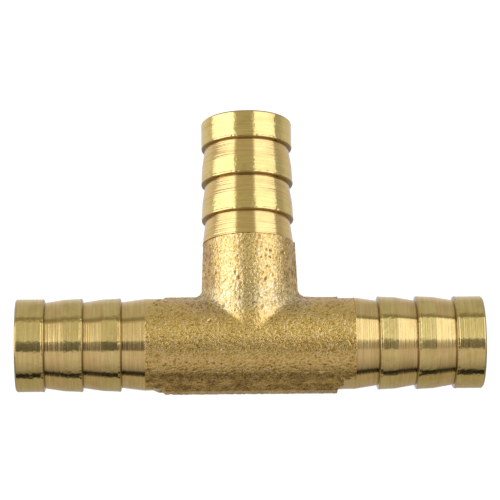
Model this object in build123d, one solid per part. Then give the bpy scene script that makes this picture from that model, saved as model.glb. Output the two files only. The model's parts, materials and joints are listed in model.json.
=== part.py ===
"""Barbed tee connector in brass, for 13 mm hose: a cast body with three turned barbed tails.

Frame: the run lies along X, the branch points along +Y, and Z is normal to the plane of the tee.
The origin is where the two bore axes cross. Millimetres.

The real fitting is one continuous piece of brass. It is drawn as its four worked regions, which meet
face to face: the body, which keeps its cast skin, and the three tails, turned from the same metal.
"""
import os

from build123d import *

# Reach of each tail, from the crossing of the axes to its end face
RUN_REACH = 32.5
BRANCH_REACH = 32.35

# Waterway
BORE_RADIUS = 4.75
MOUTH_CHAMFER = 0.3

# Turned tails. Distances are measured inwards from the tail's end face.
CREST_RADIUS = 6.5          # 13 mm hose
TIP_RADIUS = 6.45           # parallel land where the hose starts
ROOT_RADIUS = 5.96          # bottom of the step behind each crest
SHOULDER_RADIUS = 6.37      # where a barb's steep groove meets its flatter land
SEAT_RADIUS = 6.40          # where the last cone meets the body
END_CHAMFER = 0.2
TIP_LENGTH = 4.0
BARB_PITCH = 5.3
BARB_COUNT = 2              # sloping barbs behind the tip land
GROOVE_LENGTH = 2.8         # steep part of a barb
STEP_LEAN = 0.12            # how far the wall of each step leans inwards
SEAT_CONE_LENGTH = 3.35     # cone that rises from the last step towards the body
SEAT_START = TIP_LENGTH + BARB_COUNT * BARB_PITCH
SEAT_END = SEAT_START + SEAT_CONE_LENGTH

# Cast body: round above and below, with a flat flank on each side that runs out to the parting land
CROWN_RADIUS = 6.45
BRANCH_OUTER_RADIUS = 6.38  # crown of the branch at its outer end
LAND_REACH = 6.75           # from the run axis to the upright parting land
LAND_HALF_HEIGHT = 1.0
FLANK_WIDTH = 1.81          # sideways extent of a flank, from its upper edge to the land
FLANK_TOP = 4.15            # height of a flank's upper edge
BRANCH_ROOT_REACH = 7.05    # the branch is drafted: its land is this far out at the run axis
BRANCH_OUTER_REACH = 6.43   # and this far out at its outer end
CROWN_FILLET = 1.5          # between the round parts of the run and the branch
FLANK_FILLET = 1.1          # between their flanks

# Where the body ends and the tails start, from the crossing of the axes
BODY_HALF_LENGTH = RUN_REACH - SEAT_END
BODY_TOP = BRANCH_REACH - SEAT_END

# The turning tool also cleaned the parting lands of the run, up to a shoulder on each side
CLEANED_TO = 12.2
CLEANED_RADIUS = 6.5
OUTSIDE = 9.0               # any radius clear of the casting


def tail_outline():
    """Half section of a tail as (distance from its end face, radius), up to the plane where the body starts."""
    outline = [
        (0, BORE_RADIUS + MOUTH_CHAMFER),
        (0, TIP_RADIUS - END_CHAMFER),
        (END_CHAMFER, TIP_RADIUS),
        (TIP_LENGTH, TIP_RADIUS),
    ]
    for barb in range(BARB_COUNT):
        step = TIP_LENGTH + barb * BARB_PITCH
        outline += [
            (step + STEP_LEAN, ROOT_RADIUS),
            (step + GROOVE_LENGTH, SHOULDER_RADIUS),
            (step + BARB_PITCH, CREST_RADIUS),
        ]
    outline += [
        (SEAT_START + STEP_LEAN, ROOT_RADIUS),
        (SEAT_END, SEAT_RADIUS),
        (SEAT_END, BORE_RADIUS),
        (MOUTH_CHAMFER, BORE_RADIUS),
    ]
    return outline


def barbed_tail(reach):
    """A tail along +X, from the plane where the body starts to its end face."""
    points = [(reach - distance, radius) for distance, radius in tail_outline()]
    return revolve(make_face(Polyline(*points, close=True)), axis=Axis.X)


def round_barrels():
    """The round parts of the casting: the run barrel and the slightly conical branch barrel."""
    run = Rot(0, 90, 0) * Cylinder(CROWN_RADIUS, 2 * BODY_HALF_LENGTH)
    branch = Pos(0, BODY_TOP / 2, 0) * Rot(-90, 0, 0) * Cone(CROWN_RADIUS - 0.01, BRANCH_OUTER_RADIUS, BODY_TOP)
    barrels = run + branch
    crotch = barrels.edges().filter_by(GeomType.BSPLINE)
    return fillet(crotch, CROWN_FILLET)


def flank_section(reach):
    """Eight-sided section whose sloping sides are the flanks and whose upright sides are the parting lands."""
    right = [
        (reach - FLANK_WIDTH, FLANK_TOP),
        (reach, LAND_HALF_HEIGHT),
        (reach, -LAND_HALF_HEIGHT),
        (reach - FLANK_WIDTH, -FLANK_TOP),
    ]
    left = [(-across, height) for across, height in reversed(right)]
    return make_face(Polyline(*right, *left, close=True))


def in_crotch(edge):
    """True for the edges where the flanks and lands of the branch meet those of the run."""
    middle = edge @ 0.5
    return middle.Y > FLANK_TOP and abs(abs(middle.X) - middle.Y) < 0.3


def flanked_barrels():
    """The flanks and parting lands of the run and the branch."""
    across_run = Plane(origin=(-BODY_HALF_LENGTH, 0, 0), x_dir=(0, 1, 0), z_dir=(1, 0, 0))
    run = extrude(across_run * flank_section(LAND_REACH), amount=2 * BODY_HALF_LENGTH)
    branch_root = Plane(origin=(0, 0, 0), x_dir=(1, 0, 0), z_dir=(0, 1, 0))
    branch_end = Plane(origin=(0, BODY_TOP, 0), x_dir=(1, 0, 0), z_dir=(0, 1, 0))
    sections = [branch_root * flank_section(BRANCH_ROOT_REACH), branch_end * flank_section(BRANCH_OUTER_REACH)]
    barrels = run + loft(sections, ruled=True)
    return fillet([edge for edge in barrels.edges() if in_crotch(edge)], FLANK_FILLET)


def tool_cut(outline):
    """Metal that the lathe takes off around the run, from an outline of (x, radius) points."""
    return revolve(make_face(Polyline(*outline, close=True)), axis=Axis.X)


def waterway():
    """The two bores, drilled to meet where the axes cross. The run bore's seam is on the side away from the branch."""
    seam_away = Rot(0, 0, -90)
    run_bore = Rot(0, 90, 0) * seam_away * Cylinder(BORE_RADIUS, 2 * RUN_REACH)
    branch_bore = Pos(0, BRANCH_REACH / 2, 0) * Rot(90, 0, 0) * Cylinder(BORE_RADIUS, BRANCH_REACH)
    return run_bore + branch_bore


def cast_body():
    """The casting between the tails, with its cleaned lands and the two bores that cross in it."""
    chamfer_rise = OUTSIDE - CLEANED_RADIUS
    beyond = BODY_HALF_LENGTH + 1
    left_cut = tool_cut([
        (-beyond, CLEANED_RADIUS),
        (-CLEANED_TO, CLEANED_RADIUS),
        (-CLEANED_TO + chamfer_rise, OUTSIDE),
        (-beyond, OUTSIDE),
    ])
    right_cut = tool_cut([
        (beyond, CLEANED_RADIUS),
        (CLEANED_TO, CLEANED_RADIUS),
        (CLEANED_TO, OUTSIDE),
        (beyond, OUTSIDE),
    ])
    return round_barrels() + flanked_barrels() - left_cut - right_cut - waterway()


def tee():
    """Every node of the part, by name."""
    return {
        "cast_body": cast_body(),
        "run_barb_left": Rot(0, 0, 180) * barbed_tail(RUN_REACH),
        "run_barb_right": barbed_tail(RUN_REACH),
        "branch_barb": Rot(0, 0, 90) * barbed_tail(BRANCH_REACH),
    }


os.makedirs("parts", exist_ok=True)
for node, shape in tee().items():
    export_step(shape, f"parts/{node}.step")
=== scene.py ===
"""Looks of the brass barbed tee: its four worked regions as dense meshes, their brass, light and camera.

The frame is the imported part's: the run lies along X, the branch points along +Y, and the origin is where the
two bore axes cross. Meshes are worked out in millimetres and turned into metres when they become objects.
"""
import json
import math

import bmesh
import bpy
import numpy as np
from mathutils import Matrix, Vector, noise


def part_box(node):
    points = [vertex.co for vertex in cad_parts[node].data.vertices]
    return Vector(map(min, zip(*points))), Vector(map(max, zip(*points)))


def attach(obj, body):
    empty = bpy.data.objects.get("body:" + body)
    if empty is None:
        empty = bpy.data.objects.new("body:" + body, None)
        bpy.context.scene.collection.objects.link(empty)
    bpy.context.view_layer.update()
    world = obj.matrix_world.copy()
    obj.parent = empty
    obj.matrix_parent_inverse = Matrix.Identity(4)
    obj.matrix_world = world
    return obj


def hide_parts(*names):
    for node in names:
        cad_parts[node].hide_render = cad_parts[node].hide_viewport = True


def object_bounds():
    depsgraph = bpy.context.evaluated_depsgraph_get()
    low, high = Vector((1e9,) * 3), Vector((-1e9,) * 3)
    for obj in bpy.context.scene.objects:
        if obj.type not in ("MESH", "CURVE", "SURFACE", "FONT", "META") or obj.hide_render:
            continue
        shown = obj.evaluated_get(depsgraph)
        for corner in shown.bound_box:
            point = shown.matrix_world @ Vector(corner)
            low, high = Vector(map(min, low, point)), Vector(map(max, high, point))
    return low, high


MM = 0.001

# Profile of a tail, in mm. Distances run inwards from the end face.
TAIL_LENGTH = 17.95
SEAT_RADIUS = 6.40          # where the tail meets the cast body
BARBS = 2
BARB_PITCH = 5.3
END_CHAMFER = 0.2
MOUTH_CHAMFER = 0.3
LAND_EDGE = 0.1             # a groove turns into the next barb's land over this length
LAND_EDGE_RISE = 0.004
STEP_LEAN = 0.12
CORNER_WIDTH = 0.24         # painted shade in the corner behind each step, as a dark line this wide
CORNER_RISE = 0.02
LIP_WIDTH = 0.36            # raised lip in front of each step
LIP_RAMP = 0.06             # the lip rises over this length
LIP_HEIGHT = 0.018
# The lip's rolled-over edge, as (distance in front of the step, drop, burr, painted shade)
ROLLED_EDGE = (
    (0.16, 0.005, 1, 0.05),
    (0.05, 0.03, 0.6, 0.35),
    (0.0, 0.08, 0, 0.7),
)
# Painted shade on the end chamfer: its share at the end face and at the chamfer's top, and the width it fades
# out over
END_SHADE = 0.7
CHAMFER_SHADE = 0.2
CHAMFER_SHADE_WIDTH = 0.1

# Each tail's own sizes, in mm: the length and radius of its tip, the radii of its barbs' roots, shoulders and
# crests, and how long each groove runs from its step to the shoulder where the next land starts
TAILS = {
    "run_barb_left": dict(tip_length=4.0, tip=6.46, root=5.97, shoulder=6.38, crest=6.50, groove=2.75),
    "run_barb_right": dict(tip_length=4.05, tip=6.43, root=5.92, shoulder=6.385, crest=6.50, groove=2.85),
    "branch_barb": dict(tip_length=3.9, tip=6.42, root=5.96, shoulder=6.35, crest=6.49, groove=2.75),
}
SEEDS = {"run_barb_left": 11, "run_barb_right": 23, "branch_barb": 37}

# Columns of a profile. Land is 1 on the tip and on the barbs' lands and 0 elsewhere, burr is 1 on the lip in
# front of a step, and shade, the share of painted shade in the brass colour, is 1 in the corner behind it and
# also lies on the lip's rolled-over edge and on the end chamfer.
DISTANCE, RADIUS, LAND, BURR, SHADE = range(5)

# Density of the tail meshes, in mm
RING_SPACING = 0.032        # on the lips and in the dark corners, and twice that elsewhere
MARKED = 0.01               # rows with more burr or shade than this all stay
FACE_RING_SPACING = 0.08
MOUTH_RING_SPACING = 0.06
BORE_RING_SPACING = 0.6
SEGMENTS = 240
EDGE_ROUNDING = 0.03
SHARP_ANGLE = 60            # degrees

# Heights of the lathe tool's marks, in mm
LINE_DEPTH = 0.0035
CHATTER_DEPTH = 0.0028
WANDER_DEPTH = 0.0020
BURR_DEPTH = 0.022
LINES_LOST_ON_LANDS = 0.45
# Their patterns: the number of waves, their lowest and highest turns around the tail, and their lowest and
# highest cycles per mm along it
LINE_WAVES = (26, (0, 0), (1.0, 4.6))
CHATTER_WAVES = (40, (25, 90), (0.0, 1.6))
WANDER_WAVES = (12, (0, 7), (0.0, 0.25))
BURR_WAVES = (30, (8, 90), (0.0, 0.2))

# Cast skin, in mm
VOXEL = 0.14
LUMP_SIZE = 2.6
LUMP_DEPTH = 0.025
LUMP_OCTAVES = 3
GRAIN_SIZE = 0.22
GRAIN_DEPTH = 0.050
COARSE_GRAIN_SIZE = 1.8 * GRAIN_SIZE
COARSE_GRAIN_SHARE = 0.4
PIT_SIZE = 0.45
PIT_DEPTH = 0.30
PIT_THRESHOLD = 0.44        # of the noise that makes the pits
PATCH_SIZE = 1.7            # the grain is deeper, and pits are more common, in patches of this size
PATCH_GRAIN = 0.5
PATCH_PITS = 0.20
# How hollow a place counts as: its level on smooth skin, and what low grain and pits add to it
HOLLOW_LEVEL = 0.42
HOLLOW_BY_GRAIN = 0.8
HOLLOW_BY_COARSE_GRAIN = 0.3
HOLLOW_BY_PIT = 2.5

# The casting sits a little off the axis of its turned tails. Sizes in mm.
CASTING_OFFSET = Vector((0.13, -0.20, 0.0))
FLANK_TOP = 4.15
LAND_HALF_HEIGHT = 1.05
BACK_LAND_FADES_FROM = 7.6
BACK_LAND_FADE_RATE = 0.055
BACK_LAND_EDGE = 0.3

# The tool cleaned parts of the casting's skin beyond this distance along the run, down to its own radius
CLEANED_FROM = 12.2
CLEANING_REACH = 1.0        # nothing is cleaned further inwards than this
TOOL_RADIUS = 6.38
# Cleaned patches: half their width in degrees, what it gains for each mm outwards, and how ragged the edge is
LEFT_BACK_PATCH = (16, 19, 3)
LEFT_FRONT_PATCH = (9, 0, 2)
RIGHT_FRONT_PATCH = (29, 0, 5)
RIGHT_PATCH_START = 0.5
RIGHT_PATCH_RAGGED = 0.3
RAGGED_SIZE = 0.7
CLEANED_EDGE = 0.05
# Shoulders of the front parting land: a chamfer at the left, and a square one at the right
SHOULDER_TOP = 1.2 * LAND_HALF_HEIGHT
LEFT_SHOULDER_SINK = 0.12   # of the land outside the chamfer, below the tool's radius
LEFT_SHOULDER_SLOPE = 0.4
LEFT_SHOULDER_REACH = 1.5   # the chamfer starts this far beyond CLEANED_FROM, and rises inwards
RIGHT_SHOULDER_RISE = 0.05

# Where the sides get painted shade with blotches of grime and where the skin gets a painted pale highlight, in
# mm, and how much
FRONT_SIDE_SHADE_EDGE = 0.06
LAND_SIDE_SHADE_LOST = 0.35
BACK_SIDE_SHADE = 0.30
BACK_SIDE_SHADE_EDGE = 1.6
BRANCH_SIDE_SHADE_RISES = (6.6, 8.5)
# The painted pale highlight where the branch leaves the run
PALE_HALF_WIDTH = 8.0
PALE_SIDE_EDGE = 1.5
PALE_RISES = (2.0, 4.5)
PALE_FADES = (5.0, 10.0)
PALE_LOST = 0.6

# Camera, fitted to the photo's outline: degrees, metres, and the lens in mm
CAMERA_YAW = -1.977
CAMERA_LEAN = 15.935
CAMERA_ROLL = -0.953
CAMERA_DISTANCE = 0.373756
CAMERA_AIM = (0.000277, 0.013645, 0.0)
CAMERA_LENS = 190.88
SENSOR_WIDTH = 36


# ---------------------------------------------------------------- tails

def lip(step, radius):
    """Rows of the raised lip that the tool left in front of a step, and of its rolled-over edge with painted
    shade.
    """
    rows = [
        (step - LIP_WIDTH, radius - LIP_HEIGHT, 1, 0, 0),
        (step - LIP_WIDTH + LIP_RAMP, radius, 1, 1, 0),
    ]
    for before, drop, burr, shade in ROLLED_EDGE:
        rows.append((step - before, radius - drop, 1, burr, shade))
    return rows


def dark_corner(step, root):
    """Rows of the corner behind a step, with painted shade in it."""
    return [
        (step + STEP_LEAN, root, 0, 0, 1),
        (step + CORNER_WIDTH, root + CORNER_RISE, 0, 0, 0),
    ]


def tail_profile(tip_length, tip, root, shoulder, crest, groove):
    """Outer profile of a tail, from the end face inwards, as rows with the columns named above."""
    rows = [
        (0.0, tip - END_CHAMFER, 1, 0, END_SHADE),
        (END_CHAMFER, tip, 1, 0, CHAMFER_SHADE),
        (END_CHAMFER + CHAMFER_SHADE_WIDTH, tip, 1, 0, 0),
    ]
    rows += lip(tip_length, tip)
    for barb in range(BARBS):
        step = tip_length + barb * BARB_PITCH
        rows += dark_corner(step, root)
        rows += [
            (step + groove, shoulder, 0, 0, 0),
            (step + groove + LAND_EDGE, shoulder + LAND_EDGE_RISE, 1, 0, 0),
        ]
        rows += lip(step + BARB_PITCH, crest)
    rows += dark_corner(tip_length + BARBS * BARB_PITCH, root)
    rows.append((TAIL_LENGTH, SEAT_RADIUS, 0, 0, 0))
    return np.array(rows, float)


def resample(rows, spacing):
    """Rows spaced evenly along their path."""
    steps = np.hypot(np.diff(rows[:, DISTANCE]), np.diff(rows[:, RADIUS]))
    along = np.concatenate([[0], np.cumsum(steps)])
    count = max(2, int(round(along[-1] / spacing)) + 1)
    at = np.linspace(0, along[-1], count)
    return np.column_stack([np.interp(at, along, column) for column in rows.T])


def rounded(rows, spacing, rounding):
    """The same rows with every corner rounded, and both ends kept."""
    reach = max(1, int(round(3 * rounding / spacing)))
    offsets = np.arange(-reach, reach + 1) * spacing
    weights = np.exp(-0.5 * (offsets / rounding) ** 2)
    weights /= weights.sum()
    first = 2 * rows[0] - rows[reach:0:-1]
    last = 2 * rows[-1] - rows[-2:-reach - 2:-1]
    padded = np.vstack([first, rows, last])
    return np.column_stack([np.convolve(column, weights, "valid") for column in padded.T])


def thinned(rows):
    """Every row with burr or shade, every second one of the others, and the last."""
    is_kept = (rows[:, BURR] > MARKED) | (rows[:, SHADE] > MARKED) | (np.arange(len(rows)) % 2 == 0)
    is_kept[-1] = True
    return rows[is_kept]


def waves(rng, count, around, along):
    """Random waves over a tail, as (turns around it, cycles per mm along it, phase)."""
    modes = []
    for _ in range(count):
        turns = int(rng.integers(around[0], around[1] + 1))
        cycles = rng.uniform(*along) * rng.choice((-1, 1))
        phase = rng.uniform(0, 2 * math.pi)
        modes.append((turns, cycles, phase))
    return modes


def pattern(modes, angle, distance):
    """The sum of the waves at each place, with a mean square of 1."""
    total = np.zeros(np.broadcast(angle, distance).shape)
    for turns, cycles, phase in modes:
        total += np.cos(turns * angle + 2 * math.pi * cycles * distance + phase)
    return total * math.sqrt(2 / len(modes))


def turned_relief(rng, distance, angle, land, burr):
    """Height of the tool's marks over the outside of a tail, in mm."""
    lines = pattern(waves(rng, *LINE_WAVES), angle, distance)
    chatter = pattern(waves(rng, *CHATTER_WAVES), angle, distance)
    wander = pattern(waves(rng, *WANDER_WAVES), angle, distance)
    burrs = pattern(waves(rng, *BURR_WAVES), angle, distance)
    return (
        LINE_DEPTH * lines * (1 - LINES_LOST_ON_LANDS * land)
        + CHATTER_DEPTH * chatter * land
        + WANDER_DEPTH * wander
        + BURR_DEPTH * np.clip(burr, 0, 1) * (0.5 + 0.5 * burrs)
    )


def ring_faces(rings):
    """Quads from each ring of points to the next one, and from the last ring to the first."""
    faces = []
    for ring in range(rings):
        here = ring * SEGMENTS
        there = (ring + 1) % rings * SEGMENTS
        for k in range(SEGMENTS):
            after = (k + 1) % SEGMENTS
            faces.append((here + k, here + after, there + after, there + k))
    return faces


def lathe_mesh(name, seed, outer, bore_radius):
    """A tail as a closed ring-shaped mesh along +X, from its end face at x = 0 to x = TAIL_LENGTH."""
    rng = np.random.default_rng(seed)
    outer = thinned(rounded(resample(outer, RING_SPACING), RING_SPACING, EDGE_ROUNDING))
    outer[0, DISTANCE] = 0.0
    end_edge = (0, outer[0, RADIUS], 1, 0, 0)
    mouth_edge = (0, bore_radius + MOUTH_CHAMFER, 1, 0, 0)
    bore_start = (MOUTH_CHAMFER, bore_radius, 1, 0, 0)
    bore_end = (TAIL_LENGTH, bore_radius, 1, 0, 0)
    bore = resample(np.array([bore_end, bore_start], float), BORE_RING_SPACING)
    mouth = resample(np.array([bore_start, mouth_edge], float), MOUTH_RING_SPACING)
    face = resample(np.array([mouth_edge, end_edge], float), FACE_RING_SPACING)
    rows = np.vstack([bore[:-1], mouth[:-1], face[:-1], outer])
    is_outer = np.zeros((len(rows), 1))
    is_outer[-len(outer):] = 1
    angle = np.arange(SEGMENTS) / SEGMENTS * 2 * math.pi
    distance, radius, land, burr, shade = (rows[:, k:k + 1] for k in (DISTANCE, RADIUS, LAND, BURR, SHADE))
    radius = radius + turned_relief(rng, distance, angle[None, :], land, burr) * is_outer
    x = np.broadcast_to(distance, radius.shape)
    points = np.stack([x, radius * np.cos(angle), radius * np.sin(angle)], axis=-1).reshape(-1, 3)
    attributes = {
        "land": np.repeat(land, SEGMENTS),
        "shade": np.repeat(np.clip(shade, 0, 1), SEGMENTS),
    }
    return new_mesh(name, points, ring_faces(len(rows)), attributes)


def new_mesh(name, points, faces, attributes):
    """A mesh in metres from points in mm, with one float per point for each attribute."""
    mesh = bpy.data.meshes.new(name)
    mesh.from_pydata((points * MM).tolist(), [], faces)
    for key, values in attributes.items():
        mesh.attributes.new(key, "FLOAT", "POINT").data.foreach_set("value", values.astype(np.float32))
    mesh.update()
    return mesh


def add_piece(name, mesh, matrix, material, node):
    """Adds the mesh as a smooth piece that stands for a CAD node and rides on the part's only body."""
    piece = bpy.data.objects.new(name, mesh)
    bpy.context.scene.collection.objects.link(piece)
    mesh.transform(matrix)
    bm = bmesh.new()
    bm.from_mesh(mesh)
    bmesh.ops.recalc_face_normals(bm, faces=bm.faces)
    bm.to_mesh(mesh)
    bm.free()
    mesh.polygons.foreach_set("use_smooth", np.ones(len(mesh.polygons), bool))
    mesh.set_sharp_from_angle(angle=math.radians(SHARP_ANGLE))
    mesh.materials.append(material)
    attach(piece, "root")
    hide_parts(node)


# ---------------------------------------------------------------- cast body

WELD_DISTANCE = 0.002       # how near each other split vertices lie, in mm
BORE_TOLERANCE = 0.03       # how near a bore's radius its vertices lie
END_TOLERANCE = 0.02        # how near an end plane its vertices lie
DRAWN_OUT = 1.0             # how far the ends are drawn out before they are cut back
ON_PLANE = 1e-4
ON_LOOP = 1e-3


def welded_copy(node):
    """The CAD node's surface as a bmesh in mm, with its split vertices joined."""
    bm = bmesh.new()
    bm.from_mesh(node.data)
    bmesh.ops.scale(bm, vec=(1 / MM,) * 3, verts=bm.verts)
    bmesh.ops.remove_doubles(bm, verts=bm.verts, dist=WELD_DISTANCE)
    return bm


def on_bore(vertex, radius):
    """Whether a vertex lies on the run's bore or the branch's."""
    x, y, z = vertex.co
    run = abs(math.hypot(y, z) - radius) < BORE_TOLERANCE
    branch = abs(math.hypot(x, z) - radius) < BORE_TOLERANCE and y > -BORE_TOLERANCE
    return run or branch


def bore_faces(bm, radius):
    return [face for face in bm.faces if all(on_bore(vertex, radius) for vertex in face.verts)]


def outside_shell(node, bore_radius, half_length, top):
    """The casting's outside as one closed mesh without its bores, with its three ends drawn out."""
    bm = welded_copy(node)
    bmesh.ops.delete(bm, geom=bore_faces(bm, bore_radius), context="FACES")
    bmesh.ops.holes_fill(bm, edges=[e for e in bm.edges if e.is_boundary], sides=0)
    for vertex in bm.verts:
        if abs(vertex.co.x) > half_length - END_TOLERANCE:
            vertex.co.x += math.copysign(DRAWN_OUT, vertex.co.x)
        if vertex.co.y > top - END_TOLERANCE:
            vertex.co.y += DRAWN_OUT
    bmesh.ops.recalc_face_normals(bm, faces=bm.faces)
    return bm


def remeshed(bm):
    """The same closed surface as an even mesh of small quads."""
    mesh = bpy.data.meshes.new("coarse")
    bm.to_mesh(mesh)
    bm.free()
    carrier = bpy.data.objects.new("carrier", mesh)
    bpy.context.scene.collection.objects.link(carrier)
    modifier = carrier.modifiers.new("even", "REMESH")
    modifier.mode = "VOXEL"
    modifier.voxel_size = VOXEL
    bpy.context.view_layer.update()
    even = bmesh.new()
    even.from_mesh(carrier.evaluated_get(bpy.context.evaluated_depsgraph_get()).data)
    bpy.data.objects.remove(carrier)
    bpy.data.meshes.remove(mesh)
    return even


def cut_ends(bm, half_length, top):
    """Cuts the drawn-out ends back to their planes, and leaves three open loops."""
    for point, normal in (
        ((half_length, 0, 0), (1, 0, 0)),
        ((-half_length, 0, 0), (-1, 0, 0)),
        ((0, top, 0), (0, 1, 0)),
    ):
        geometry = list(bm.verts) + list(bm.edges) + list(bm.faces)
        bmesh.ops.bisect_plane(bm, geom=geometry, plane_co=point, plane_no=normal, clear_outer=True)


def noise_at(point, size, shift=(0, 0, 0)):
    """Noise with blobs of about a given size. Each use has its own shift, so that no two are alike."""
    return noise.noise(point / size + Vector(shift))


def cast_relief(point):
    """Height of the cast skin over its nominal surface in mm, and how hollow it is there, from 0 to 1."""
    lumps = noise.fractal(point / LUMP_SIZE, 1.0, 2.0, LUMP_OCTAVES)
    grain = noise_at(point, GRAIN_SIZE)
    coarse = noise_at(point, COARSE_GRAIN_SIZE, (7, 3, 1))
    patch = noise_at(point, PATCH_SIZE, (3, 9, 27))
    pit = max(0.0, noise_at(point, PIT_SIZE, (11, 5, 19)) - PIT_THRESHOLD + PATCH_PITS * patch)
    grains = GRAIN_DEPTH * (1 + PATCH_GRAIN * patch) * (grain + COARSE_GRAIN_SHARE * coarse)
    height = LUMP_DEPTH * lumps + grains - PIT_DEPTH * pit
    hollow = HOLLOW_LEVEL - HOLLOW_BY_GRAIN * grain - HOLLOW_BY_COARSE_GRAIN * coarse + HOLLOW_BY_PIT * pit
    return height, min(1.0, max(0.0, hollow))


def smooth_step(value, low, high):
    """0 up to low, 1 from high on, and a smooth rise between them."""
    share = min(1.0, max(0.0, (value - low) / (high - low)))
    return share * share * (3 - 2 * share)


def in_patch(patch, from_middle, beyond, ragged):
    """1 inside a cleaned patch and 0 outside it, by the angle from its middle in degrees."""
    half_width, gain, raggedness = patch
    return smooth_step(half_width + gain * beyond + raggedness * ragged - from_middle, -1, 1)


def cleaned_share(place, ragged):
    """How far the lathe tool cleaned the cast skin at a place on the run, from 0 to 1."""
    from_back = math.degrees(math.atan2(abs(place.z), place.y))
    from_front = 180 - from_back
    if place.x < 0:
        beyond = -place.x - CLEANED_FROM
        at_back = in_patch(LEFT_BACK_PATCH, from_back, beyond, ragged)
        at_front = in_patch(LEFT_FRONT_PATCH, from_front, beyond, ragged)
        share = max(at_back, at_front)
    else:
        beyond = place.x - CLEANED_FROM - RIGHT_PATCH_START + RIGHT_PATCH_RAGGED * ragged
        share = in_patch(RIGHT_FRONT_PATCH, from_front, beyond, ragged)
    return share * smooth_step(beyond, -CLEANED_EDGE, CLEANED_EDGE)


def land_limit(place):
    """The largest radius that the tool left at the front parting land, beyond each of its two shoulders."""
    if place.y > 0 or place.z > SHOULDER_TOP:
        return math.inf
    if place.x < 0:
        up_chamfer = max(0.0, place.x + CLEANED_FROM + LEFT_SHOULDER_REACH)
        return TOOL_RADIUS - LEFT_SHOULDER_SINK + LEFT_SHOULDER_SLOPE * up_chamfer
    return TOOL_RADIUS + RIGHT_SHOULDER_RISE if place.x > CLEANED_FROM else math.inf


def flank_grime(place):
    """How much painted shade, with blotches of grime, a place gets: most on the run's front flank and the
    branch's sides, less on its back flank.
    """
    height = abs(place.z)
    if place.y < 0:
        on_flank = smooth_step(FLANK_TOP - height, -FRONT_SIDE_SHADE_EDGE, FRONT_SIDE_SHADE_EDGE)
        return on_flank * (1 - LAND_SIDE_SHADE_LOST * (height < LAND_HALF_HEIGHT))
    on_branch = smooth_step(place.y, *BRANCH_SIDE_SHADE_RISES)
    on_flank = smooth_step(FLANK_TOP - height, -BACK_SIDE_SHADE_EDGE, BACK_SIDE_SHADE_EDGE)
    return (BACK_SIDE_SHADE + (1 - BACK_SIDE_SHADE) * on_branch) * on_flank


def pale_highlight(place):
    """How much painted pale highlight the skin gets: most where the branch leaves the run, and less further up
    the branch.
    """
    beside_branch = smooth_step(PALE_HALF_WIDTH - abs(place.x), -PALE_SIDE_EDGE, PALE_SIDE_EDGE)
    fade = 1 - PALE_LOST * smooth_step(place.y, *PALE_FADES)
    return smooth_step(place.y, *PALE_RISES) * fade * beside_branch


def raised(vertex, height, half_length, top):
    """Where a vertex goes when the skin rises by a height. One on an end plane stays in that plane."""
    move = vertex.normal * height
    if abs(abs(vertex.co.x) - half_length) < ON_PLANE:
        move.x = 0
    if abs(vertex.co.y - top) < ON_PLANE:
        move.y = 0
    return vertex.co + move


def back_land_drop(place):
    """How far the back parting land has sunk at a place, in mm: it fades away towards the right."""
    if place.y <= 0 or not BACK_LAND_FADES_FROM < place.x < CLEANED_FROM:
        return 0.0
    on_land = smooth_step(LAND_HALF_HEIGHT - abs(place.z), -BACK_LAND_EDGE, 0.0)
    return BACK_LAND_FADE_RATE * (place.x - BACK_LAND_FADES_FROM) * on_land


def clean(place, start):
    """Moves a raised place to the tool's radius where the tool cleaned the skin, and returns how clean it is.

    start is where the place was on the nominal surface.
    """
    if abs(place.x) <= CLEANED_FROM - CLEANING_REACH:
        return 0.0
    ragged = 2 * noise_at(start, RAGGED_SIZE, (5, 23, 41))
    share = cleaned_share(start, ragged)
    across = math.hypot(place.y, place.z)
    kept = min(across, land_limit(start))
    wanted = kept + (TOOL_RADIUS - kept) * share
    place.y *= wanted / across
    place.z *= wanted / across
    return max(share, smooth_step(across - kept, 0.0, CLEANED_EDGE))


def shape_skin(bm, half_length, top):
    """Gives the even mesh its cast grain and its cleaned patches, and marks them in the vertex attributes."""
    bm.normal_update()
    hollow_layer = bm.verts.layers.float.new("hollow")
    cleaned_layer = bm.verts.layers.float.new("cleaned")
    flank_layer = bm.verts.layers.float.new("flank")
    pale_layer = bm.verts.layers.float.new("pale")
    places = []
    for vertex in bm.verts:
        height, hollow = cast_relief(vertex.co)
        place = raised(vertex, height, half_length, top)
        place.y -= back_land_drop(place)
        vertex[cleaned_layer] = clean(place, vertex.co)
        vertex[hollow_layer] = hollow
        vertex[flank_layer] = flank_grime(vertex.co)
        vertex[pale_layer] = pale_highlight(vertex.co)
        places.append(place)
    for vertex, place in zip(bm.verts, places):
        vertex.co = place


def close_ends(bm, half_length, top):
    """Fills the ring between the skin and the bore at each of the three ends."""
    for axis, place in ((0, half_length), (0, -half_length), (1, top)):
        loops = []
        for edge in bm.edges:
            if edge.is_boundary and all(abs(vertex.co[axis] - place) < ON_LOOP for vertex in edge.verts):
                loops.append(edge)
        bmesh.ops.triangle_fill(bm, edges=loops, use_beauty=True)


def body_mesh(node, bore_radius, half_length, top):
    """The casting as one closed mesh in metres: grainy skin, two crossing bores and three end rings."""
    bm = remeshed(outside_shell(node, bore_radius, half_length, top))
    bmesh.ops.translate(bm, vec=CASTING_OFFSET, verts=bm.verts)
    cut_ends(bm, half_length, top)
    shape_skin(bm, half_length, top)
    bores = welded_copy(node)
    inside = set(bore_faces(bores, bore_radius))
    bmesh.ops.delete(bores, geom=[face for face in bores.faces if face not in inside], context="FACES")
    lining = bpy.data.meshes.new("lining")
    bores.to_mesh(lining)
    bores.free()
    bm.from_mesh(lining)
    bpy.data.meshes.remove(lining)
    close_ends(bm, half_length, top)
    mesh = bpy.data.meshes.new("cast_body_look")
    bm.to_mesh(mesh)
    bm.free()
    mesh.transform(Matrix.Scale(MM, 4))
    return mesh


# ---------------------------------------------------------------- materials

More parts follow.
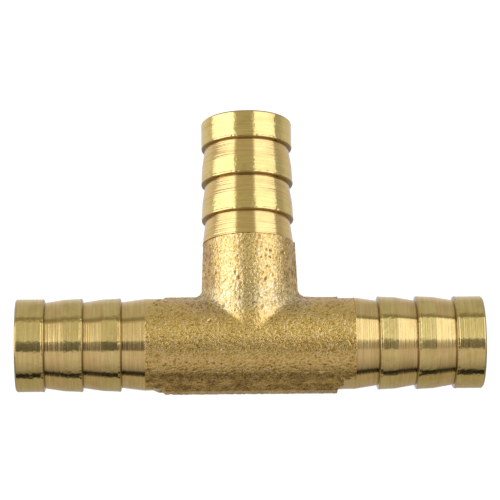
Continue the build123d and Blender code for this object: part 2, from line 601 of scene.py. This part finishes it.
WHITE = (1, 1, 1)
# Turned brass, from the bottom of its tool lines to their top
GROOVE_COLOURS = [(0.0, (0.82, 0.56, 0.17)), (1.0, (1.0, 0.69, 0.235))]
LAND_COLOURS = [(0.0, (0.81, 0.585, 0.17)), (1.0, (0.96, 0.71, 0.23))]
# Painted shade, mixed into the turned brass by the shade column: in the step corners, on the lips' edges and
# on the end chamfer
PAINTED_SHADE_BROWN = (0.34, 0.21, 0.07)
# Cast brass, from its high spots to its hollows
SKIN_COLOURS = [(0.0, (1.0, 0.73, 0.32)), (0.45, (0.98, 0.64, 0.155)), (1.0, (0.48, 0.26, 0.045))]
# Painted highlight where the branch leaves the run: whiter high spots, and browner skin between them
PALE_HIGHLIGHT_COLOURS = [(0.0, (1.0, 0.83, 0.50)), (0.45, (0.86, 0.61, 0.21)), (1.0, (0.40, 0.23, 0.05))]
CLEANED_COLOUR = (0.93, 0.66, 0.22)
# Layers that darken the brass below them
TURNED_TARNISH = [(0.0, (0.90, 0.87, 0.82)), (1.0, WHITE)]
CAST_TARNISH = [(0.0, (0.88, 0.85, 0.78)), (1.0, WHITE)]
# Painted shade on the flanks, broken into blotches of grime
SIDE_SHADE_AND_GRIME_COLOURS = [(0.0, (0.50, 0.46, 0.46)), (1.0, (0.96, 0.92, 0.92))]

AROUND_STRETCH = 0.06       # scale of the tool lines' noise around the tail, as a share of that along it
TOOL_BUMP = 0.000015        # metres
SPECK_BUMP = 0.00005


class Nodes:
    """Short calls for building one node tree."""

    def __init__(self, tree):
        self.tree = tree
        tree.nodes.clear()

    def add(self, kind, **settings):
        node = self.tree.nodes.new(kind)
        for key, value in settings.items():
            setattr(node, key, value)
        return node

    def link(self, source, target):
        self.tree.links.new(source, target)

    def math(self, operation, a, b):
        node = self.add("ShaderNodeMath", operation=operation)
        self.link(a, node.inputs[0])
        self.link(b, node.inputs[1])
        return node.outputs[0]

    def attribute(self, name):
        return self.add("ShaderNodeAttribute", attribute_name=name).outputs["Fac"]

    def noise(self, scale, stretch=(1, 1, 1), detail=3.0, roughness=0.6):
        """Noise over the object's own coordinates, as a number near 0.5. scale is in cycles per metre."""
        place = self.add("ShaderNodeTexCoord")
        mapping = self.add("ShaderNodeMapping")
        mapping.inputs["Scale"].default_value = stretch
        texture = self.add("ShaderNodeTexNoise")
        texture.inputs["Scale"].default_value = scale
        texture.inputs["Detail"].default_value = detail
        texture.inputs["Roughness"].default_value = roughness
        self.link(place.outputs["Object"], mapping.inputs["Vector"])
        self.link(mapping.outputs[0], texture.inputs["Vector"])
        return texture.outputs[0]

    def spread(self, value, low, high, start=0.0, end=1.0):
        """value moved from low..high to start..end, and held there outside it."""
        node = self.add("ShaderNodeMapRange")
        for name, number in (("From Min", low), ("From Max", high), ("To Min", start), ("To Max", end)):
            node.inputs[name].default_value = number
        self.link(value, node.inputs["Value"])
        return node.outputs[0]

    def ramp(self, value, stops, low=0.0, high=1.0):
        """A colour from value, which runs from low to high: stops are (position, colour)."""
        ramp = self.add("ShaderNodeValToRGB")
        elements = ramp.color_ramp.elements
        while len(elements) < len(stops):
            elements.new(0.5)
        for element, (position, colour) in zip(elements, stops):
            element.position = position
            element.color = (*colour, 1)
        self.link(self.spread(value, low, high), ramp.inputs[0])
        return ramp.outputs["Color"]

    def mix(self, factor, a, b, blend="MIX"):
        """a and b mixed by factor. Each may be a socket or a plain number or colour."""
        node = self.add("ShaderNodeMix", data_type="RGBA", blend_type=blend)
        for socket, value in ((node.inputs[0], factor), (node.inputs[6], a), (node.inputs[7], b)):
            if isinstance(value, (int, float)):
                socket.default_value = value
            elif isinstance(value, tuple):
                socket.default_value = (*value, 1)
            else:
                self.link(value, socket)
        return node.outputs[2]

    def darken(self, colour, layer):
        return self.mix(1.0, colour, layer, "MULTIPLY")

    def bump(self, height, distance):
        node = self.add("ShaderNodeBump")
        node.inputs["Strength"].default_value = 1.0
        node.inputs["Distance"].default_value = distance
        self.link(height, node.inputs["Height"])
        return node.outputs[0]


def new_material(name):
    """A new material, as itself, its node builder and its shader."""
    material = bpy.data.materials.new(name)
    material.use_nodes = True
    n = Nodes(material.node_tree)
    output = n.add("ShaderNodeOutputMaterial")
    shader = n.add("ShaderNodeBsdfPrincipled")
    n.link(shader.outputs[0], output.inputs[0])
    return material, n, shader


def turned_brass(name, axis, roughness, spread_along):
    """Bright brass with tool marks around the tail's axis, which spread its reflections along that axis."""
    material, n, shader = new_material(name)
    shader.inputs["Metallic"].default_value = 1.0
    shader.inputs["Anisotropic"].default_value = spread_along
    shader.inputs["Anisotropic Rotation"].default_value = 0.25
    across_lines = tuple(1.0 if letter == axis else AROUND_STRETCH for letter in "XYZ")
    lines = n.noise(scale=2600, stretch=across_lines, detail=4.0, roughness=0.7)
    blotches = n.noise(scale=420)
    groove = n.ramp(lines, GROOVE_COLOURS, low=0.35, high=0.65)
    land = n.ramp(lines, LAND_COLOURS, low=0.35, high=0.65)
    brass = n.mix(n.attribute("land"), groove, land)
    brass = n.darken(brass, n.ramp(blotches, TURNED_TARNISH, low=0.3, high=0.5))
    # painted shade, mixed in by the shade attribute
    n.link(n.mix(n.attribute("shade"), brass, PAINTED_SHADE_BROWN), shader.inputs["Base Color"])
    shader.inputs["Roughness"].default_value = roughness
    n.link(n.bump(lines, TOOL_BUMP), shader.inputs["Normal"])
    tangent = n.add("ShaderNodeTangent", direction_type="RADIAL", axis=axis)
    n.link(tangent.outputs[0], shader.inputs["Tangent"])
    return material


def cast_brass():
    """Shot-blasted casting skin: golden on its high spots, brown in its hollows, with painted shade and grime
    on the flanks and a painted pale highlight where the branch leaves the run.
    """
    material, n, shader = new_material("cast_brass")
    shader.inputs["Metallic"].default_value = 1.0
    specks = n.noise(scale=5600, detail=2.0, roughness=0.65)
    cleaned = n.attribute("cleaned")
    hollow = n.attribute("hollow")
    # painted pale highlight where the branch leaves the run
    skin = n.mix(n.attribute("pale"), n.ramp(hollow, SKIN_COLOURS), n.ramp(hollow, PALE_HIGHLIGHT_COLOURS))
    skin = n.darken(skin, n.ramp(n.noise(scale=380), CAST_TARNISH, low=0.3, high=0.6))
    grime = n.ramp(n.noise(scale=900), SIDE_SHADE_AND_GRIME_COLOURS, low=0.35, high=0.6)
    # painted shade with grime on the flanks
    skin = n.mix(n.attribute("flank"), skin, n.darken(skin, grime))
    n.link(n.mix(cleaned, skin, CLEANED_COLOUR), shader.inputs["Base Color"])
    n.link(n.spread(specks, 0.3, 0.7, start=0.17, end=0.40), shader.inputs["Roughness"])
    height = n.math("MULTIPLY", specks, n.spread(cleaned, 0, 1, start=1, end=0.06))
    n.link(n.bump(height, SPECK_BUMP), shader.inputs["Normal"])
    return material


# ---------------------------------------------------------------- stage, light and camera

FLOOR_RADIUS = 2.5
BACKDROP_RADIUS = 2.6

# The room as seen from the object, by the angle in the plane across the run: 0 is up, 90 is the back, and
# -90 is the front
ROOM = [
    (-180, (0.40, 0.40, 0.43)),
    (-140, (0.38, 0.38, 0.41)),
    (-105, (0.36, 0.36, 0.39)),
    (-101, (0.01, 0.01, 0.01)),
    (-89, (0.01, 0.01, 0.01)),
    (-85, (0.26, 0.26, 0.32)),
    (-66, (0.43, 0.43, 0.54)),
    (-48, (0.54, 0.54, 0.70)),
    (-31, (0.54, 0.54, 0.70)),
    (-4, (0.41, 0.41, 0.44)),
    (0, (0.41, 0.41, 0.41)),
    (50, (0.41, 0.41, 0.41)),
    (54, (0.22, 0.22, 0.20)),
    (60, (0.22, 0.22, 0.20)),
    (66, (0.43, 0.45, 0.54)),
    (110, (0.45, 0.47, 0.57)),
    (140, (0.64, 0.65, 0.76)),
    (180, (0.66, 0.67, 0.76)),
]
ROOM_AT_LEFT = 1.14
ROOM_AT_RIGHT = 0.92
# The camera's dark opening, by that angle and by how far it reaches to each side
OPENING_BACK_TO_FRONT = (-31, -27, -6, -2)
OPENING_LEFT_TO_RIGHT = (-0.52, -0.36, 0.17, 0.30)
OPENING_COLOUR = (0.02, 0.02, 0.02)

SOFTBOX_COLOUR = (0.88, 1.0, 1.50)
SOFTBOX_DISTANCE = 0.6
# Directions from straight up and half the angles that the softboxes fill, in degrees
SOFTBOXES = {
    "softbox_left": dict(across=-60, back=23, half_across=30, half_back=25.5, radiance=1.38),
    "softbox_right": dict(across=43, back=24, half_across=26, half_back=28.5, radiance=1.13),
}


def glowing(name, glow, diffuse):
    """A white surface that shines by itself, and takes a share of its light from the lamps."""
    material, _, shader = new_material(name)
    shader.inputs["Base Color"].default_value = (diffuse, diffuse, diffuse, 1)
    shader.inputs["Roughness"].default_value = 1.0
    shader.inputs["Specular IOR Level"].default_value = 0.0
    shader.inputs["Emission Color"].default_value = (*WHITE, 1)
    shader.inputs["Emission Strength"].default_value = glow
    return material


def stage_object(name, bm, material):
    """A part of the stage that the metal doesn't mirror."""
    mesh = bpy.data.meshes.new(name)
    bm.to_mesh(mesh)
    bm.free()
    mesh.materials.append(material)
    thing = bpy.data.objects.new(name, mesh)
    bpy.context.scene.collection.objects.link(thing)
    thing.visible_glossy = False
    return thing


def pale_floor(height):
    bm = bmesh.new()
    bmesh.ops.create_circle(bm, cap_ends=True, segments=96, radius=FLOOR_RADIUS)
    bmesh.ops.translate(bm, vec=(0, 0, height), verts=bm.verts)
    stage_object("floor", bm, glowing("floor_white", glow=0.95, diffuse=0.25))


def white_backdrop():
    """A white dome that only the camera sees, so that the room's own light reaches the metal."""
    bm = bmesh.new()
    bmesh.ops.create_uvsphere(bm, u_segments=64, v_segments=32, radius=BACKDROP_RADIUS)
    dome = stage_object("backdrop", bm, glowing("backdrop_white", glow=1.0, diffuse=0.0))
    dome.visible_diffuse = False
    dome.visible_transmission = False
    dome.visible_volume_scatter = False
    dome.visible_shadow = False


def within(n, value, edges):
    """1 between the two inner edges and 0 outside the two outer ones."""
    rise = n.spread(value, edges[0], edges[1])
    fall = n.spread(value, edges[2], edges[3], start=1, end=0)
    return n.math("MULTIPLY", rise, fall)


def room_light():
    """The room around the object as a world, with the dark opening that the camera looks through."""
    world = bpy.data.worlds.new("room")
    bpy.context.scene.world = world
    world.use_nodes = True
    n = Nodes(world.node_tree)
    output = n.add("ShaderNodeOutputWorld")
    background = n.add("ShaderNodeBackground")
    n.link(background.outputs[0], output.inputs[0])
    place = n.add("ShaderNodeTexCoord")
    split = n.add("ShaderNodeSeparateXYZ")
    n.link(place.outputs["Generated"], split.inputs[0])
    x, y, z = split.outputs
    angle = n.math("ARCTAN2", y, z)
    stops = [((degrees + 180) / 360, colour) for degrees, colour in ROOM]
    room = n.ramp(angle, stops, low=-math.pi, high=math.pi)
    room = n.darken(room, n.spread(x, -1, 1, start=ROOM_AT_LEFT, end=ROOM_AT_RIGHT))
    opening = n.math(
        "MULTIPLY",
        within(n, angle, [math.radians(edge) for edge in OPENING_BACK_TO_FRONT]),
        within(n, x, OPENING_LEFT_TO_RIGHT),
    )
    n.link(n.mix(opening, room, OPENING_COLOUR), background.inputs["Color"])


def softbox(name, across, back, half_across, half_back, radiance):
    """A rectangular softbox in the direction given by its angles from straight up, in degrees."""
    light = bpy.data.lights.new(name, "AREA")
    light.shape = "RECTANGLE"
    light.size = 2 * SOFTBOX_DISTANCE * math.tan(math.radians(half_across))
    light.size_y = 2 * SOFTBOX_DISTANCE * math.tan(math.radians(half_back))
    light.energy = radiance * math.pi * light.size * light.size_y
    light.color = SOFTBOX_COLOUR
    lamp = bpy.data.objects.new(name, light)
    bpy.context.scene.collection.objects.link(lamp)
    turn = Matrix.Rotation(math.radians(-back), 4, "X") @ Matrix.Rotation(math.radians(across), 4, "Y")
    lamp.matrix_world = turn @ Matrix.Translation((0, 0, SOFTBOX_DISTANCE))


def camera():
    """The photo's camera. Yaw turns it around Y, lean tips it towards the front, and roll turns its frame."""
    data = bpy.data.cameras.new("camera")
    data.lens = CAMERA_LENS
    data.sensor_width = SENSOR_WIDTH
    data.clip_start = 0.01
    view = bpy.data.objects.new("camera", data)
    bpy.context.scene.collection.objects.link(view)
    yaw, lean, roll = (math.radians(angle) for angle in (CAMERA_YAW, CAMERA_LEAN, CAMERA_ROLL))
    back = Vector((math.sin(yaw) * math.cos(lean), -math.sin(lean), math.cos(yaw) * math.cos(lean)))
    level = Vector((math.cos(yaw), 0, -math.sin(yaw)))
    upright = back.cross(level)
    right = level * math.cos(roll) + upright * math.sin(roll)
    up = upright * math.cos(roll) - level * math.sin(roll)
    turn = Matrix((right, up, back)).transposed().to_4x4()
    view.matrix_world = Matrix.Translation(Vector(CAMERA_AIM) + back * CAMERA_DISTANCE) @ turn
    bpy.context.scene.camera = view


# ---------------------------------------------------------------- the scene

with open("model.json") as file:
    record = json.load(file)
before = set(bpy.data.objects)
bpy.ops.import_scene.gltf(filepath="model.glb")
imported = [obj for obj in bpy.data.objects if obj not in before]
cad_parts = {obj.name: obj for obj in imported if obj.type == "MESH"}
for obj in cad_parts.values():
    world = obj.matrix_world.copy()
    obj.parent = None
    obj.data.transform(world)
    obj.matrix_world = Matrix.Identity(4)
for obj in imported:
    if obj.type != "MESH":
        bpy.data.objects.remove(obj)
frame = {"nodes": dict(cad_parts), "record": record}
cad_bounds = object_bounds()
bpy.context.scene.view_settings.view_transform = "Standard"
camera()

body_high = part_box("cast_body")[1]
half_length = body_high.x / MM
top = body_high.y / MM
bore = next(mount for mount in frame["record"]["mounts"] if mount["name"] == "run_bore")
bore_radius = bore["dims"]["r_mm"]

# Where each tail's end face goes, which way the tail points, and the axis that it is turned around
left_end = Matrix.Translation((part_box("run_barb_left")[0].x, 0, 0))
right_end = Matrix.Translation((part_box("run_barb_right")[1].x, 0, 0))
branch_end = Matrix.Translation((0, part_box("branch_barb")[1].y, 0))
PLACES = {
    "run_barb_left": (left_end, "X"),
    "run_barb_right": (right_end @ Matrix.Rotation(math.pi, 4, "Z"), "X"),
    "branch_barb": (branch_end @ Matrix.Rotation(-math.pi / 2, 4, "Z"), "Y"),
}
turned = {
    "X": turned_brass("turned_brass_run", "X", roughness=0.20, spread_along=1.0),
    "Y": turned_brass("turned_brass_branch", "Y", roughness=0.19, spread_along=0.6),
}
for node, sizes in TAILS.items():
    mesh = lathe_mesh(node + "_look", SEEDS[node], tail_profile(**sizes), bore_radius)
    matrix, axis = PLACES[node]
    add_piece(node + "_look", mesh, matrix, turned[axis], node)

mesh = body_mesh(frame["nodes"]["cast_body"], bore_radius, half_length, top)
add_piece("cast_body_look", mesh, Matrix.Identity(4), cast_brass(), "cast_body")

pale_floor(cad_bounds[0].z)
white_backdrop()
room_light()
for name, settings in SOFTBOXES.items():
    softbox(name, **settings)
